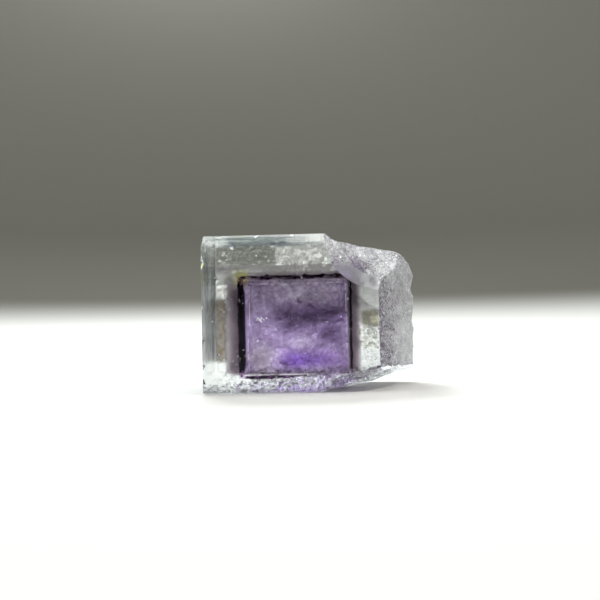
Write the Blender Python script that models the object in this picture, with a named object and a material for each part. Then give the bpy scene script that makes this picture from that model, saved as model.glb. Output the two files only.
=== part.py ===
"""One broken cube of clear fluorite with a violet inner cube. Metres, +Z up, the front face towards -Y.

The clear crystal is one grown piece. Because the violet cube is sealed inside it, the clear solid is
parted in two beside the violet cube, which lies in a pocket in the larger part. The block is modelled
with its front left lower corner at the origin. An empty then carries the pieces so that the bottom
centre of their bounding box stands on the world's origin."""

import math
import random

import bmesh
import bpy
from mathutils import Euler, Matrix, Vector, noise

MM = 0.001

# The natural cube faces.
FACE_WIDTH = 14.2 * MM  # front face, from its left edge to where the break on its right starts
FACE_HEIGHT = 12.6 * MM
CRYSTAL_DEPTH = 13.0 * MM
BLOCK_WIDTH = 19.0 * MM  # the grown block, before the break on the right is cut

# The violet cube: where the crystal's faces stood when its colour changed.
VIOLET_LOW = Vector((2.88, 2.75, 1.45)) * MM
VIOLET_HIGH = Vector((11.90, 9.5, 9.25)) * MM
FIT_GAP = 0.3 * MM  # left between pieces that meet

# Growth steps: each inner step stands a little further out of the face than the one around it.
STEP_INSETS = (0.28 * MM, 0.85 * MM, 1.9 * MM)
STEP_RISES = (0.04 * MM, 0.075 * MM, 0.105 * MM)
STEP_JOG = 0.16 * MM  # how far a step's edge jumps sideways
JOGS_PER_SIDE = 3
JOG_WANDER = 0.35  # how far a jump strays from its even place, in shares of the gap between two
STEP_ROOT = 0.4 * MM  # how deep a step's plate reaches into the block
PAST_BREAK = 0.3 * MM  # how far steps run past the block on a side that is broken off

# Broken surfaces. Each lies in a flat frame: a corner, two directions, a size and the size of its facets.
CUT_MARGIN = 1.0 * MM  # how far the large cutters reach past the block
CUT_THICKNESS = 9.0 * MM
BREAK_SLANT = math.radians(14.5)  # the right side slants, so the crystal is wider behind its front face
BREAKS = {
    "side_break": {
        "corner": (FACE_WIDTH - CUT_MARGIN * math.tan(BREAK_SLANT), -CUT_MARGIN, -CUT_MARGIN),
        "along": (math.sin(BREAK_SLANT), math.cos(BREAK_SLANT), 0),
        "up": (0, 0, 1),
        "size": (16 * MM, 15 * MM),
        "cell": 0.40 * MM,
    },
    "top_break": {
        "corner": (9.65 * MM, -CUT_MARGIN, 12.15 * MM),
        "along": (1, 0, 0),
        "up": (0, 1, 0),
        "size": (9.5 * MM, 15 * MM),
        "cell": 0.42 * MM,
    },
    "front_chip": {
        "corner": (9.2 * MM, -0.4 * MM, 0.75 * MM),
        "along": (0, 0.64, -0.77),
        "up": (0.958, 0, 0.287),
        "size": (3.2 * MM, 9 * MM),
        "cell": 0.30 * MM,
    },
    "under_chip": {
        "corner": (9.2 * MM, 0.2 * MM, 0.30 * MM),
        "along": (0, 0.99, -0.12),
        "up": (0.963, 0, 0.27),
        "size": (14.5 * MM, 10 * MM),
        "cell": 0.45 * MM,
    },
    "corner_chip": {
        "corner": (-0.14 * MM, 2.4 * MM, 11.1 * MM),
        "along": (0, -1, 0),
        "up": (0.24, 0, 0.97),
        "size": (3.6 * MM, 2.4 * MM),
        "cell": 0.30 * MM,
    },
    "rock_scar": {
        "corner": (BLOCK_WIDTH, CRYSTAL_DEPTH, 0),
        "along": (-1, 0, 0),
        "up": (0, 0, 1),
        "size": (17 * MM, 11 * MM),
        "cell": 0.42 * MM,
    },
}
GRID_WANDER = 0.3  # how far a facet's corner strays from an even grid, in shares of a cell

# Lumps on the broken surfaces: the height and length of each layer in millimetres, and its seed.
SIDE_LUMPS = ((0.40, 5.0, 3), (0.09, 0.9, 4))
TOP_LUMPS = ((0.14, 1.6, 31), (0.06, 0.8, 37))
CHIP_LUMPS = ((0.16, 1.5, 41), (0.09, 0.6, 43))
SCAR_LUMPS = ((0.18, 1.2, 53), (0.08, 0.6, 57))
BOWL_LUMPS = ((0.16, 1.1, 61), (0.09, 0.6, 67))

# The right side: a bulge, and ledges that follow cleavage.
SIDE_BULGE = 1.35 * MM
SIDE_FADE = 2.4 * MM  # over this length from the front face the side's relief grows to its full height
LEDGE_HEIGHT = 0.45 * MM
LEDGE_SPACING = 2.6 * MM
LEDGE_LEAN = 0.35  # how much a ledge climbs towards the back
LEDGE_RISER = 0.22  # share of the spacing taken by the step down
LEDGE_WANDER = (2.2, 3.5, 5)
LEDGE_FADING = (0.6, 6.0, 8)

# The sloping top of the right side: steep beside the whole top face, then falling to the right.
TOP_LIP = 0.9 * MM
TOP_LIP_WIDTH = 0.55 * MM
TOP_SLOPE = -0.13
TOP_DROOP_START = 5.6 * MM
TOP_DROOP = -0.22 / MM

# Chips run out of the crystal at their ends.
CHIP_LIP = 0.7 * MM

# The shell-shaped break at the front face's top right corner: a shallow smooth dish round a grained bowl.
DISH_CENTRE = Vector((14.74, -8.53, 12.73)) * MM
DISH_RADIUS = 9.76 * MM
DISH_DETAIL = 6
DISH_RIPPLE = 0.02 * MM  # low rings round the place of the blow
DISH_RIPPLE_LENGTH = 0.13 * MM
DISH_SWELL = (0.10, 2.6, 71)
BOWL_CENTRE = Vector((14.74, -0.5, 12.73)) * MM
BOWL_RADIUS = 3.83 * MM
BOWL_DETAIL = 5

# The rough patch on the back, where the crystal sat on its rock.
SCAR_CENTRE = Vector((8.0, 4.6)) * MM  # from the block's right end and up, on the back face
SCAR_RADIUS = 4.2 * MM
SCAR_DEPTH = 0.55 * MM
SCAR_RIM_SLOPE = 1.3 * MM
SCAR_RIM_START = 0.55
SCAR_WANDER = (0.35, 2.5, 51)

# Small chips knocked out of the long edges, at these shares of each edge's length. Fluorite cleaves
# along the faces of an octahedron, so each chip leaves two flat facets that meet in a shallow V.
NICK_SIZES = (0.13 * MM, 0.30 * MM)
NICK_LENGTHENING = (1.0, 2.6)
NICK_TURN = math.radians(9)
NICKS = {
    "front_left": ("left", "front", None, (0.06, 0.17, 0.34, 0.55, 0.83)),
    "front_top": (None, "front", "top", (0.11, 0.31, 0.52)),
    "front_bottom": (None, "front", "bottom", (0.07, 0.29, 0.49)),
    "left_top": ("left", None, "top", (0.38, 0.62, 0.86)),
    "left_bottom": ("left", None, "bottom", (0.28, 0.63)),
    "back_left": ("left", "back", None, (0.21, 0.44, 0.76)),
    "back_top": (None, "back", "top", (0.11, 0.37, 0.6)),
}

CLEAR_COLOUR = (0.74, 0.72, 0.80, 1.0)
VIOLET_COLOUR = (0.30, 0.14, 0.50, 1.0)
CRYSTAL_ROUGHNESS = 0.08
FLUORITE_IOR = 1.434


def clear_scene():
    for obj in list(bpy.data.objects):
        bpy.data.objects.remove(obj)


def new_collection(name):
    collection = bpy.data.collections.new(name)
    bpy.context.scene.collection.children.link(collection)
    return collection


def add_mesh_object(name, bm, collection, matrix=None):
    bmesh.ops.recalc_face_normals(bm, faces=bm.faces)
    mesh = bpy.data.meshes.new(name)
    bm.to_mesh(mesh)
    bm.free()
    obj = bpy.data.objects.new(name, mesh)
    obj.matrix_world = matrix or Matrix.Identity(4)
    collection.objects.link(obj)
    return obj


def place(origin, along, up):
    """Matrix of a flat frame: local X is along, local Y is up, and local Z looks out of the crystal."""
    along = Vector(along).normalized()
    up = Vector(up).normalized()
    out = along.cross(up)
    axes = Matrix((along, up, out)).transposed().to_4x4()
    return Matrix.Translation(origin) @ axes


def rough(point, size, seed):
    """Smooth noise from -1 to 1 whose lumps measure about size."""
    return noise.noise(Vector(point) / size + Vector((seed, seed * 1.7, seed * 2.3)))


def lumps(point, layers):
    """The height, in metres, of several layers of lumps."""
    return sum(height * MM * rough(point, length * MM, seed) for height, length, seed in layers)


def ramp(value, start, length):
    """Rises from 0 at start to 1 one length further on."""
    return min(1.0, max(0.0, (value - start) / length))


def add_box(name, low, high, collection):
    """A box from its low corner to its high one."""
    bm = bmesh.new()
    bmesh.ops.create_cube(bm, size=1.0)
    bmesh.ops.scale(bm, vec=high - low, verts=bm.verts)
    bmesh.ops.translate(bm, vec=(low + high) / 2, verts=bm.verts)
    return add_mesh_object(name, bm, collection)


def stepped_outline(width, height, inset, broken, rng):
    """Outline of one growth step: a rectangle whose sides jump in and out at right angles.

    Sides run bottom, right, top, left. A side whose name is in broken runs past the block instead."""
    sides = ("bottom", "right", "top", "left")
    offsets = {}
    for side in sides:
        if side in broken:
            offsets[side] = [-PAST_BREAK] * JOGS_PER_SIDE
        else:
            offsets[side] = [inset + STEP_JOG * rng.uniform(-1, 1) for _ in range(JOGS_PER_SIDE)]
    corners = (Vector((0, 0)), Vector((width, 0)), Vector((width, height)), Vector((0, height)))
    outline = []
    for index, side in enumerate(sides):
        start = corners[index]
        reach = corners[(index + 1) % 4] - start
        along = reach.normalized()
        inwards = Vector((-along.y, along.x))
        before = offsets[sides[index - 1]][-1]
        own = offsets[side]
        outline.append(start + along * before + inwards * own[0])
        for jog in range(1, JOGS_PER_SIDE):
            at = reach * (jog + rng.uniform(-JOG_WANDER, JOG_WANDER)) / JOGS_PER_SIDE
            outline.append(start + at + inwards * own[jog - 1])
            outline.append(start + at + inwards * own[jog])
    return outline


def step_plate(name, outline, rise, matrix, collection):
    """A flat plate with this outline, rooted in the block and standing out of its face by rise."""
    bm = bmesh.new()
    base = bm.faces.new([bm.verts.new((x, y, -STEP_ROOT)) for x, y in outline])
    grown = bmesh.ops.extrude_face_region(bm, geom=[base])
    raised = [part for part in grown["geom"] if isinstance(part, bmesh.types.BMVert)]
    bmesh.ops.translate(bm, vec=(0, 0, STEP_ROOT + rise), verts=raised)
    return add_mesh_object(name, bm, collection, matrix)


def grow_steps(collection):
    """Three growth steps on each natural face."""
    wide, deep, high = BLOCK_WIDTH, CRYSTAL_DEPTH, FACE_HEIGHT
    faces = {
        "front": (place((0, 0, 0), (1, 0, 0), (0, 0, 1)), wide, high, ("right",)),
        "left": (place((0, deep, 0), (0, -1, 0), (0, 0, 1)), deep, high, ()),
        "top": (place((0, 0, high), (1, 0, 0), (0, 1, 0)), wide, deep, ("right",)),
        "bottom": (place((0, deep, 0), (1, 0, 0), (0, -1, 0)), wide, deep, ("right",)),
        "back": (place((wide, deep, 0), (-1, 0, 0), (0, 0, 1)), wide, high, ("left",)),
    }
    rng = random.Random(7)
    for face, (matrix, width, height, broken) in faces.items():
        for number, (inset, rise) in enumerate(zip(STEP_INSETS, STEP_RISES), start=1):
            outline = stepped_outline(width, height, inset, broken, rng)
            step_plate(f"{face}_step_{number}", outline, rise, matrix, collection)


def side_relief(x, y):
    """The right side: one wide bulge, long low swells, ledges that follow cleavage, and small lumps."""
    behind = ramp(x, CUT_MARGIN, CRYSTAL_DEPTH)
    bulge = SIDE_BULGE * 4 * behind * (1 - behind)
    wander, length, seed = LEDGE_WANDER
    climb = (LEDGE_LEAN * x + y + wander * MM * rough((x, y, 0), length * MM, seed)) / LEDGE_SPACING
    share = climb - math.floor(climb)
    ledge = min(share / (1 - LEDGE_RISER), (1 - share) / LEDGE_RISER) - 0.5
    fading, length, seed = LEDGE_FADING
    strength = 1 - fading + fading * abs(rough((x, y, 0), length * MM, seed))
    grown = ramp(x, CUT_MARGIN, SIDE_FADE)
    return bulge + grown * (LEDGE_HEIGHT * ledge * strength + lumps((x, y, 0), SIDE_LUMPS))


def top_relief(x, y):
    """The top of the right side: steep beside the whole top face, then falling gently to the right."""
    lip = TOP_LIP * math.exp(-x / TOP_LIP_WIDTH)
    beyond = max(0.0, x - TOP_DROOP_START)
    return lip + TOP_SLOPE * x + TOP_DROOP * beyond * beyond + lumps((x, y, 0), TOP_LUMPS)


def chip_relief(x, y):
    """A chipped facet: coarse lumps with small grains on them, running out of the crystal at one end."""
    return lumps((x, y, 0), CHIP_LUMPS) + CHIP_LIP * math.exp(-y / CHIP_LIP)


def corner_relief(x, y):
    """A small flat chip at the crystal's corner, running out towards the back."""
    return lumps((x, y, 0), CHIP_LUMPS) / 4 + CHIP_LIP * math.exp(-x / CHIP_LIP)


def scar_relief(x, y):
    """The rough patch on the back: a shallow uneven hollow that comes up out of the face at its rim."""
    wander, length, seed = SCAR_WANDER
    away = (Vector((x, y)) - SCAR_CENTRE).length / SCAR_RADIUS
    away += wander * rough((x, y, 0), length * MM, seed)
    rim = SCAR_RIM_SLOPE * max(0.0, away - SCAR_RIM_START)
    return rim - SCAR_DEPTH + lumps((x, y, 0), SCAR_LUMPS)


def break_cutter(name, relief, collection):
    """A cutter whose lower side is the broken surface: relief(x, y) gives its height in the break's frame."""
    values = BREAKS[name]
    width, height = values["size"]
    cell = values["cell"]
    bm = bmesh.new()
    bmesh.ops.create_grid(bm, x_segments=round(width / cell), y_segments=round(height / cell), size=0.5)
    bmesh.ops.translate(bm, vec=(0.5, 0.5, 0), verts=bm.verts)
    bmesh.ops.scale(bm, vec=(width, height, 1), verts=bm.verts)
    for vert in bm.verts:
        x, y, _ = vert.co
        if 0 < x < width and 0 < y < height:  # an uneven grid, so that no facets line up
            vert.co.x += GRID_WANDER * cell * rough((x, y, 0), cell, 11)
            vert.co.y += GRID_WANDER * cell * rough((x, y, 0), cell, 23)
        vert.co.z = relief(vert.co.x, vert.co.y)
    lifted = bmesh.ops.extrude_face_region(bm, geom=bm.faces[:])
    for part in lifted["geom"]:
        if isinstance(part, bmesh.types.BMVert):
            part.co.z = CUT_THICKNESS
    bmesh.ops.triangulate(bm, faces=bm.faces)
    matrix = place(values["corner"], values["along"], values["up"])
    return add_mesh_object(name, bm, collection, matrix)


def dish_relief(point):
    """Rings round the line straight in from the blow, on one long swell."""
    rings = DISH_RIPPLE * math.sin(math.hypot(point.x, point.z) / DISH_RIPPLE_LENGTH)
    return rings + lumps(point, (DISH_SWELL,))


def bowl_relief(point):
    return lumps(point, BOWL_LUMPS)


def ball_cutter(name, centre, radius, detail, relief, collection):
    """A ball whose surface relief(point) raises; the point is measured from the ball's centre."""
    bm = bmesh.new()
    bmesh.ops.create_icosphere(bm, subdivisions=detail, radius=radius)
    for vert in bm.verts:
        vert.co += vert.co.normalized() * relief(vert.co)
    return add_mesh_object(name, bm, collection, Matrix.Translation(centre))


def edge_nicks(collection):
    """Chips small pieces off the long edges. An axis with no side named is the edge's own."""
    sides = {"left": 0, "front": 0, "bottom": 0, "back": CRYSTAL_DEPTH, "top": FACE_HEIGHT}
    lengths = (FACE_WIDTH, CRYSTAL_DEPTH, FACE_HEIGHT)
    rng = random.Random(23)
    for edge, (*ends, shares) in NICKS.items():
        for number, share in enumerate(shares, start=1):
            centre = [share * length if side is None else sides[side] for side, length in zip(ends, lengths)]
            lengthening = rng.uniform(*NICK_LENGTHENING)
            stretch = [lengthening if side is None else 1 for side in ends]
            turn = Euler([rng.uniform(-NICK_TURN, NICK_TURN) for _ in range(3)])
            bm = bmesh.new()
            size = rng.uniform(*NICK_SIZES)
            bmesh.ops.create_uvsphere(bm, u_segments=4, v_segments=2, radius=size)  # an octahedron
            bmesh.ops.scale(bm, vec=stretch, verts=bm.verts)
            matrix = Matrix.Translation(centre) @ turn.to_matrix().to_4x4()
            add_mesh_object(f"nick_{edge}_{number}", bm, collection, matrix)


def cut_breaks(collection):
    break_cutter("side_break", side_relief, collection)
    break_cutter("top_break", top_relief, collection)
    break_cutter("front_chip", chip_relief, collection)
    break_cutter("under_chip", chip_relief, collection)
    break_cutter("corner_chip", corner_relief, collection)
    break_cutter("rock_scar", scar_relief, collection)
    ball_cutter("dish_break", DISH_CENTRE, DISH_RADIUS, DISH_DETAIL, dish_relief, collection)
    ball_cutter("bowl_break", BOWL_CENTRE, BOWL_RADIUS, BOWL_DETAIL, bowl_relief, collection)
    edge_nicks(collection)


def combine(crystal, operation, collection):
    """A live Boolean of the crystal with every object in the collection."""
    modifier = crystal.modifiers.new(collection.name, "BOOLEAN")
    modifier.operation = operation
    modifier.operand_type = "COLLECTION"
    modifier.collection = collection
    modifier.solver = "EXACT"
    for obj in collection.objects:
        obj.hide_render = True
        obj.display_type = "WIRE"


def crystal_material(name, colour):
    material = bpy.data.materials.new(name)
    material.use_nodes = True
    surface = material.node_tree.nodes["Principled BSDF"]
    surface.inputs["Base Color"].default_value = colour
    surface.inputs["Roughness"].default_value = CRYSTAL_ROUGHNESS
    surface.inputs["Metallic"].default_value = 0.0
    surface.inputs["IOR"].default_value = FLUORITE_IOR
    surface.inputs["Transmission Weight"].default_value = 1.0
    return material


def pocket_cutters(collection):
    """What the larger part leaves out: all left of the parting plane, and the pocket, which opens into it."""
    margin = Vector((CUT_MARGIN, CUT_MARGIN, CUT_MARGIN))
    clearance = Vector((FIT_GAP, FIT_GAP, FIT_GAP))
    left_end = Vector((VIOLET_LOW.x, CRYSTAL_DEPTH + CUT_MARGIN, FACE_HEIGHT + CUT_MARGIN))
    add_box("left_side", -margin, left_end, collection)
    add_box("pocket_space", VIOLET_LOW - clearance, VIOLET_HIGH + clearance, collection)


def far_cutter(collection):
    """What the smaller part leaves out: all from a gap before the parting plane."""
    start = Vector((VIOLET_LOW.x - FIT_GAP, -CUT_MARGIN, -CUT_MARGIN))
    end = Vector((BLOCK_WIDTH, CRYSTAL_DEPTH, FACE_HEIGHT)) + Vector((CUT_MARGIN, CUT_MARGIN, CUT_MARGIN))
    add_box("right_side", start, end, collection)


def clear_part(name, cutters, steps, breaks, collection):
    """One part of the clear crystal: the stepped block, its breaks, then this part's own cuts."""
    size = Vector((BLOCK_WIDTH, CRYSTAL_DEPTH, FACE_HEIGHT))
    part = add_box(name, Vector((0, 0, 0)), size, collection)
    combine(part, "UNION", steps)
    combine(part, "DIFFERENCE", breaks)
    combine(part, "DIFFERENCE", cutters)
    return part


def stand_on_origin(parts, collections):
    """Hangs every object on an empty, which brings the bottom centre of the parts' box to the origin."""
    stand = bpy.data.objects.new("stand", None)
    bpy.context.scene.collection.objects.link(stand)
    for collection in collections:
        for obj in collection.objects:
            obj.parent = stand
    graph = bpy.context.evaluated_depsgraph_get()
    points = []
    for part in parts:
        evaluated = part.evaluated_get(graph)
        points += [evaluated.matrix_world @ vert.co for vert in evaluated.to_mesh().vertices]
        evaluated.to_mesh_clear()
    low = Vector([min(point[axis] for point in points) for axis in range(3)])
    high = Vector([max(point[axis] for point in points) for axis in range(3)])
    stand.location = (-(low.x + high.x) / 2, -(low.y + high.y) / 2, -low.z)


def main():
    clear_scene()
    crystals = new_collection("fluorite_cube")
    steps = new_collection("growth_steps")
    breaks = new_collection("breaks")
    pocket = new_collection("pocket")
    far = new_collection("far_side")
    grow_steps(steps)
    cut_breaks(breaks)
    pocket_cutters(pocket)
    far_cutter(far)
    cube = clear_part("fluorite_cube", pocket, steps, breaks, crystals)
    left = clear_part("fluorite_cube_left", far, steps, breaks, crystals)
    violet = add_box("violet_cube", VIOLET_LOW, VIOLET_HIGH, crystals)
    clear = crystal_material("clear_fluorite", CLEAR_COLOUR)
    cube.data.materials.append(clear)
    left.data.materials.append(clear)
    violet.data.materials.append(crystal_material("violet_fluorite", VIOLET_COLOUR))
    stand_on_origin((cube, left), (crystals, steps, breaks, pocket, far))


main()
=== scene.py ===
import math
import random

import bmesh
import bpy
from mathutils import Euler, Matrix, Vector, noise


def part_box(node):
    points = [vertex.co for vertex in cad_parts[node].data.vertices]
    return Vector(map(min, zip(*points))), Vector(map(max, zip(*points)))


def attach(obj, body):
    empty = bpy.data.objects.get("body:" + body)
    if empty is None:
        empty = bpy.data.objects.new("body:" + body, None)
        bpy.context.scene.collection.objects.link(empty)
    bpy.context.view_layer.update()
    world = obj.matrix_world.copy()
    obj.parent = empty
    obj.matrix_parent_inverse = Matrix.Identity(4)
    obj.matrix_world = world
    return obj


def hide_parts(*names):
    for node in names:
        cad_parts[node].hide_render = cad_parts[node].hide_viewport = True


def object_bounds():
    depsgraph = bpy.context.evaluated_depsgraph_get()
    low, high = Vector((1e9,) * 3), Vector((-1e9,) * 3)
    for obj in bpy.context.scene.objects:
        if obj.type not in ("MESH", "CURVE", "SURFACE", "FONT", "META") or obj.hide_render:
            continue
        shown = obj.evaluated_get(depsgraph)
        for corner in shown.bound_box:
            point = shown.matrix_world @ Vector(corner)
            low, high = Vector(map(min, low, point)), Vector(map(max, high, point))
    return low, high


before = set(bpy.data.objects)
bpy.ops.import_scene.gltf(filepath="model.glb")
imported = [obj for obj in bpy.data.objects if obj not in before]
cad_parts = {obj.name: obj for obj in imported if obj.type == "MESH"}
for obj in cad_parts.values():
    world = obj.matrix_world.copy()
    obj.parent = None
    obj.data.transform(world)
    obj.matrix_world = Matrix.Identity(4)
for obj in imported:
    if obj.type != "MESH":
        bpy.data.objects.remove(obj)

mm = 0.001
tiny = 1e-6  # what counts as nothing, in metres or mm
cadLow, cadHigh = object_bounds()
stepRise = 0.105  # mm, how far the innermost growth step stands out of the block
corner = cadLow + Vector((stepRise, stepRise, stepRise)) * mm  # the block's front left lower corner
block = (cadHigh - cadLow) / mm - Vector((2, 2, 2)) * stepRise  # its size in mm; the right end is broken
cubeLow, cubeHigh = [(end - corner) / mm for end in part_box("violet_cube")]
gap = 0.3  # mm, left between the solids that meet
print("crystal frame loaded, block", [round(side, 2) for side in block])


def spot(across, behind, up):
    # a place in the crystal, in mm from the block's front left lower corner
    return corner + Vector((across, behind, up)) * mm


def addPiece(name, bm, materials, slot="clear_fluorite"):
    mesh = bpy.data.meshes.new(name)
    bm.to_mesh(mesh)
    bm.free()
    obj = bpy.data.objects.new(name, mesh)
    bpy.context.scene.collection.objects.link(obj)
    for material in materials:
        mesh.materials.append(material)
    if slot:
        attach(obj, "root")
    return obj


def join(tree, value, socket):
    # a number or colour is set on the socket, and anything else is linked to it
    if isinstance(value, bpy.types.NodeSocket):
        tree.links.new(value, socket)
    else:
        socket.default_value = value


def calc(tree, operation, *values):
    node = tree.nodes.new("ShaderNodeMath")
    node.operation = operation
    for value, socket in zip(values, node.inputs):
        join(tree, value, socket)
    return node.outputs[0]


def vectorCalc(tree, operation, *values):
    node = tree.nodes.new("ShaderNodeVectorMath")
    node.operation = operation
    for value, socket in zip(values, node.inputs):
        join(tree, value, socket)
    return node.outputs["Value" if operation in ("DOT_PRODUCT", "LENGTH", "DISTANCE") else "Vector"]


def rise(tree, value, start, end, low=0.0, high=1.0):
    # goes smoothly from low to high as the value goes from start to end
    node = tree.nodes.new("ShaderNodeMapRange")
    node.interpolation_type = "SMOOTHSTEP"
    labels = ("Value", "From Min", "From Max", "To Min", "To Max")
    for label, given in zip(labels, (value, start, end, low, high)):
        join(tree, given, node.inputs[label])
    return node.outputs["Result"]


def fall(tree, value, start, end):
    return rise(tree, value, start, end, 1.0, 0.0)


def product(tree, *values):
    result = values[0]
    for value in values[1:]:
        result = calc(tree, "MULTIPLY", result, value)
    return result


def towards(tree, mask, value, goal):
    # the value, moved to the goal where the mask is 1
    return calc(tree, "MULTIPLY_ADD", calc(tree, "SUBTRACT", goal, value), mask, value)


def cloud(tree, vector, size, detail=3.0, roughness=0.55):
    # noise from 0 to 1 whose lumps measure about size, in the vector's own units
    node = tree.nodes.new("ShaderNodeTexNoise")
    node.inputs["Scale"].default_value = 1 / size
    node.inputs["Detail"].default_value = detail
    node.inputs["Roughness"].default_value = roughness
    tree.links.new(vector, node.inputs["Vector"])
    return node.outputs["Fac"]


def blend(tree, mask, a, b):
    node = tree.nodes.new("ShaderNodeMix")
    node.data_type = "RGBA"
    for value, socket in ((mask, node.inputs[0]), (a, node.inputs[6]), (b, node.inputs[7])):
        join(tree, value, socket)
    return node.outputs[2]


def bump(tree, height, distance):
    node = tree.nodes.new("ShaderNodeBump")
    node.inputs["Strength"].default_value = 1.0
    node.inputs["Distance"].default_value = distance * mm
    tree.links.new(height, node.inputs["Height"])
    return node.outputs["Normal"]


def millimetres(tree):
    # Object coordinates as mm from the block's corner
    place = tree.nodes.new("ShaderNodeTexCoord").outputs["Object"]
    return vectorCalc(tree, "MULTIPLY_ADD", place, (1 / mm,) * 3, -corner / mm)


def separate(tree, vector):
    node = tree.nodes.new("ShaderNodeSeparateXYZ")
    tree.links.new(vector, node.inputs[0])
    return node.outputs


def combine(tree, value):
    # one value on all three axes
    node = tree.nodes.new("ShaderNodeCombineXYZ")
    for socket in node.inputs:
        tree.links.new(value, socket)
    return node.outputs[0]


def newGroup(name, given, out):
    # a shared effect with the sockets named in two dictionaries, label to kind
    tree = bpy.data.node_groups.new(name, "ShaderNodeTree")
    for sockets, side in ((given, "INPUT"), (out, "OUTPUT")):
        for label, kind in sockets.items():
            tree.interface.new_socket(name=label, in_out=side, socket_type="NodeSocket" + kind)
    return tree, tree.nodes.new("NodeGroupInput").outputs, tree.nodes.new("NodeGroupOutput").inputs


def useGroup(tree, group, **values):
    node = tree.nodes.new("ShaderNodeGroup")
    node.node_tree = group
    for label, value in values.items():
        join(tree, value, node.inputs[label])
    return node.outputs


def newMaterial(name):
    material = bpy.data.materials.new(name)
    material.use_nodes = True
    return material, material.node_tree, material.node_tree.nodes["Principled BSDF"]


# The crystal's own faces. Lengths are in mm. A pair is where an effect starts and where it is full,
# its weakest and strongest frosting, or, for the facets, a coarse and a fine size.
glass = {
    "ior": 1.434, "gloss": (0.45, 0.42, 0.5, 1), "body": (0.93, 0.955, 0.955, 1),
    "polish": 0.09, "mostFrost": 0.7, "edge": (0.15, 0.3),
    # growth lines on the side faces
    "streakSize": 0.42, "streakLength": 9.0, "streakDepth": 0.022, "bend": 1.1, "bendSize": 2.4,
    "streakFrom": (0.40, 0.62), "streakFrost": (0.03, 0.28), "streakShift": (17, 5, 3), "topPolish": 0.45,
    # the left and top faces are darker in streaks, as painted shade
    "paintedShadeFrom": (0.40, 0.60), "leftPaintedShade": (0.11, 0.13, 0.145, 1), "leftPaintedShadeLight": (0.27, 0.30, 0.32, 1),
    "topPaintedShade": (0.34, 0.39, 0.43, 1), "topPaintedShadeLight": (0.70, 0.77, 0.80, 1),
    # the left face's painted shade stops at a ragged line above its foot, which stays pale, and the lower
    # face is etched
    "footEnd": (2.0, 2.5), "footRagged": 1.6, "footFrost": 0.7, "footGrain": 0.8,
    # etching and small facets
    "etchSize": 1.3, "etchFrom": (0.32, 0.68), "etchFrost": (0.34, 0.52),
    "etchGrain": 0.16, "etchDepth": 0.012,
    "facets": (0.42, 0.17), "facetSlope": 0.9, "plainGrain": 0.05,
    # scuffs on the front face, towards the chips at its lower right
    "scuffTop": 0.6, "scuffRise": 0.085, "scuffBlur": (-0.25, 0.1), "scuffSize": 0.8, "scuffRagged": 1.4,
    "scuffFrost": 0.2, "scuffSlope": 1.1,
}

# Patches on the back face: from low to high across and up, in mm. Frost is their roughness, and grain
# says how strongly small facets stand out.
backPatches = {
    "window": {"low": (0.1, 11.0), "high": (5.4, 12.6), "blur": 0.12,
               "frost": 0.12, "grain": 0.3, "tint": (0.80, 0.87, 0.80, 1)},
    "cream": {"low": (5.5, 10.9), "high": (10.8, 12.6), "blur": 0.08,
              "frost": 0.6, "grain": 0.8, "tint": (1, 1, 0.97, 1)},
    "mauveBand": {"low": (0.1, 10.1), "high": (12.0, 10.9), "blur": 0.15,
                  "frost": 0.3, "grain": 0.2, "tint": (0.74, 0.70, 0.79, 1)},
    "greenSpot": {"low": (1.6, 9.0), "high": (3.0, 10.4), "blur": 0.4,
                  "frost": 0.35, "grain": 0.2, "tint": (0.66, 0.70, 0.10, 1)},
    "whiteSpot": {"low": (-0.1, 7.9), "high": (1.1, 9.1), "blur": 0.12,
                  "frost": 0.65, "grain": 0.8, "tint": (1, 1, 0.96, 1)},
    # painted shadow: a dark brown patch near the back face's left edge
    "brownPaintedShadow": {"low": (-0.3, 2.0), "high": (0.95, 7.9), "blur": 0.2,
                   "frost": 0.4, "grain": 0.05, "tint": (0.046, 0.030, 0.016, 1)},
    "greyRight": {"low": (12.3, 6.9), "high": (14.8, 9.1), "blur": 0.3,
                  "frost": 0.45, "grain": 0.1, "tint": (0.50, 0.50, 0.52, 1)},
    "darkOlive": {"low": (13.1, 5.1), "high": (14.8, 6.6), "blur": 0.25,
                   "frost": 0.3, "grain": 0.2, "tint": (0.22, 0.20, 0.11, 1)},
    "sparkRight": {"low": (12.8, 3.1), "high": (14.8, 5.0), "blur": 0.15,
                   "frost": 0.35, "grain": 1.0, "tint": (0.97, 1, 0.93, 1)},
    "whiteRight": {"low": (12.8, 1.1), "high": (14.8, 3.1), "blur": 0.15,
                   "frost": 0.5, "grain": 0.6, "tint": (0.93, 0.97, 1, 1)},
    "mottle": {"low": (-0.3, -0.3), "high": (2.9, 2.1), "blur": 0.3,
               "frost": 0.45, "grain": 0.6, "tint": (0.95, 1, 1, 1)},
    "footFrost": {"low": (2.9, -0.3), "high": (20, 1.5), "blur": 0.25,
                  "frost": 0.35, "grain": 1.0, "tint": (0.48, 0.51, 0.49, 1)},
}
patchEdges = {
    "raggedSize": 0.5, "ragged": 0.5, "mottleSize": 0.5, "mottleFrom": (0.38, 0.6), "mottle": (0.94, 1.0),
}
# how uneven the facets' pattern is, and the middle of the colour that gives each its lean
cleavage = {"randomness": 0.9, "middle": 0.5}


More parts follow.
